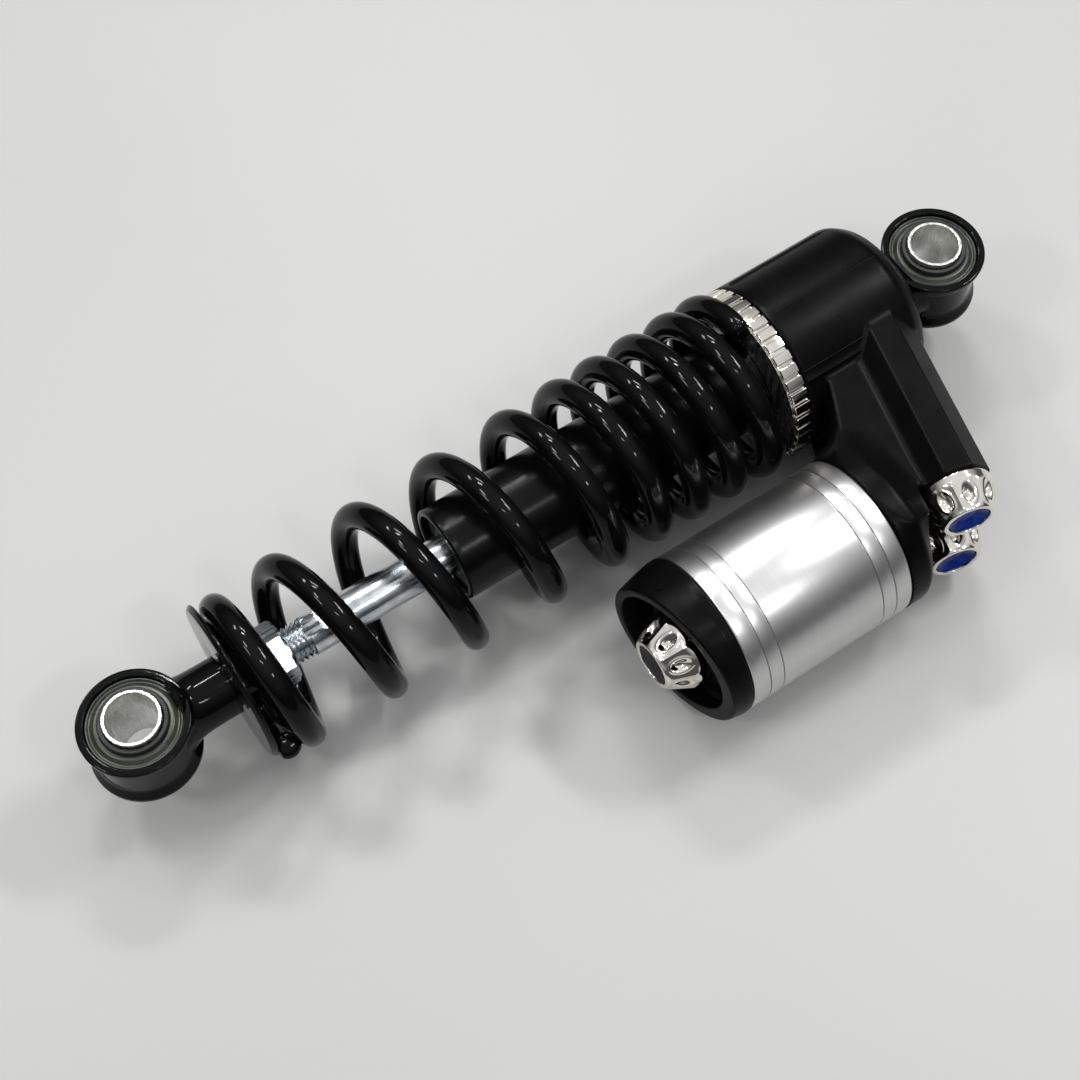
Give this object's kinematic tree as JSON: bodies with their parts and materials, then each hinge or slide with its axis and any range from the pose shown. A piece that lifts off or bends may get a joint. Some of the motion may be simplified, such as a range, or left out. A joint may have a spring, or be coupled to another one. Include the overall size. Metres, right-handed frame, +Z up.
{
  "type": "coil-over rear shock",
  "caption": "Coil-over rear shock absorber with an eye at each end, a progressive coil spring, a toothed preload ring and a piggyback reservoir with adjuster knobs.",
  "frame": {"origin": "centre of the bounding box's lowest face: the middle of the footprint on the surface that the shock lies on", "axes": "+X along the damper from the lower eye to the upper eye, +Z up along both eye bores, the reservoir on the -Y side"},
  "size_m": [0.301, 0.1118, 0.0568],
  "materials": {
    "gloss_black_paint": "gloss",
    "satin_black_paint": "satin",
    "satin_black_plastic": "satin",
    "brushed_silver": "satin, turned",
    "chrome": "mirror",
    "zinc_steel": "bright zinc plate",
    "bright_steel": "turned",
    "bush_rubber": "semi-gloss",
    "seal_rubber": "matt",
    "blue_anodised": "gloss",
    "bronze": "machined"
  },
  "bodies": {
    "damper": {"damper_tube": "satin_black_paint", "wiper": "seal_rubber", "retaining_clip": "bright_steel", "rod_seal": "seal_rubber", "rod_guide": "bronze", "base_valve": "bronze", "upper_housing": "satin_black_plastic", "upper_eye": "gloss_black_paint", "upper_bush": "bush_rubber", "reservoir_canister": "brushed_silver", "reservoir_cap": "satin_black_plastic", "cap_seal": "seal_rubber", "collar_seal": "seal_rubber", "spring": "gloss_black_paint"},
    "rod": {"piston_rod": "zinc_steel", "lock_nut": "zinc_steel", "lower_eye": "gloss_black_paint", "lower_bush": "bush_rubber", "lower_spring_seat": "gloss_black_paint", "top_out_bumper": "seal_rubber", "piston": "bright_steel", "piston_band": "bronze", "piston_shims": "bright_steel", "piston_nut": "bright_steel"},
    "lower_sleeve": {"lower_sleeve": "bright_steel"},
    "upper_sleeve": {"upper_sleeve": "bright_steel"},
    "preload_seat": {"spring_washer": "bright_steel"},
    "preload_ring": {"preload_ring": "chrome"},
    "floating_piston": {"floating_piston": "brushed_silver", "floating_piston_ring": "seal_rubber"},
    "front_knob": {"front_knob": "chrome", "front_knob_plug": "seal_rubber", "front_spindle": "bright_steel"},
    "rear_knob_upper": {"rear_knob_upper": "chrome", "rear_dish_upper": "blue_anodised", "rear_spindle_upper": "bright_steel"},
    "rear_knob_lower": {"rear_knob_lower": "chrome", "rear_dish_lower": "blue_anodised", "rear_spindle_lower": "bright_steel"}
  },
  "joints": [
    {"name": "rod_slide", "type": "slide", "parent": "damper", "child": "rod", "axis": [1, 0, 0], "range_m": [0, 0.04], "stiffness_N_per_m": 28000, "springref_m": -0.001, "deforming": ["spring"]},
    {"name": "lower_bush_twist", "type": "hinge", "parent": "rod", "child": "lower_sleeve", "pos_m": [-0.135, 0.02765, 0.0285], "axis": [0, 0, 1], "range_deg": [-10, 10], "stiffness_Nm_per_rad": 2},
    {"name": "upper_bush_twist", "type": "hinge", "parent": "damper", "child": "upper_sleeve", "pos_m": [0.135, 0.02765, 0.0285], "axis": [0, 0, 1], "range_deg": [-10, 10], "stiffness_Nm_per_rad": 2},
    {"name": "preload_slide", "type": "slide", "parent": "damper", "child": "preload_seat", "axis": [-1, 0, 0], "range_m": [0, 0.0035], "deforming": ["spring"]},
    {"name": "preload_turn", "type": "hinge", "parent": "preload_seat", "child": "preload_ring", "pos_m": [0.068, 0.02765, 0.0285], "axis": [-1, 0, 0], "range_deg": [0, 720]},
    {"name": "floating_slide", "type": "slide", "parent": "damper", "child": "floating_piston", "axis": [-1, 0, 0], "range_m": [0, 0.0025]},
    {"name": "front_knob_turn", "type": "hinge", "parent": "damper", "child": "front_knob", "pos_m": [-0.0098, -0.03165, 0.0263], "axis": [-1, 0, 0], "range_deg": [-180, 180]},
    {"name": "rear_knob_upper_turn", "type": "hinge", "parent": "damper", "child": "rear_knob_upper", "pos_m": [0.0839, -0.04995, 0.0392], "axis": [-0.2756, -0.9613, 0], "range_deg": [-135, 135]},
    {"name": "rear_knob_lower_turn", "type": "hinge", "parent": "damper", "child": "rear_knob_lower", "pos_m": [0.085, -0.05025, 0.0139], "axis": [-0.2756, -0.9613, 0], "range_deg": [-135, 135]}
  ],
  "couplings": [
    {"joint": "preload_slide", "follows": "preload_turn", "m_per_rad": 0.00023873},
    {"joint": "floating_slide", "follows": "rod_slide", "ratio": 0.05286}
  ]
}
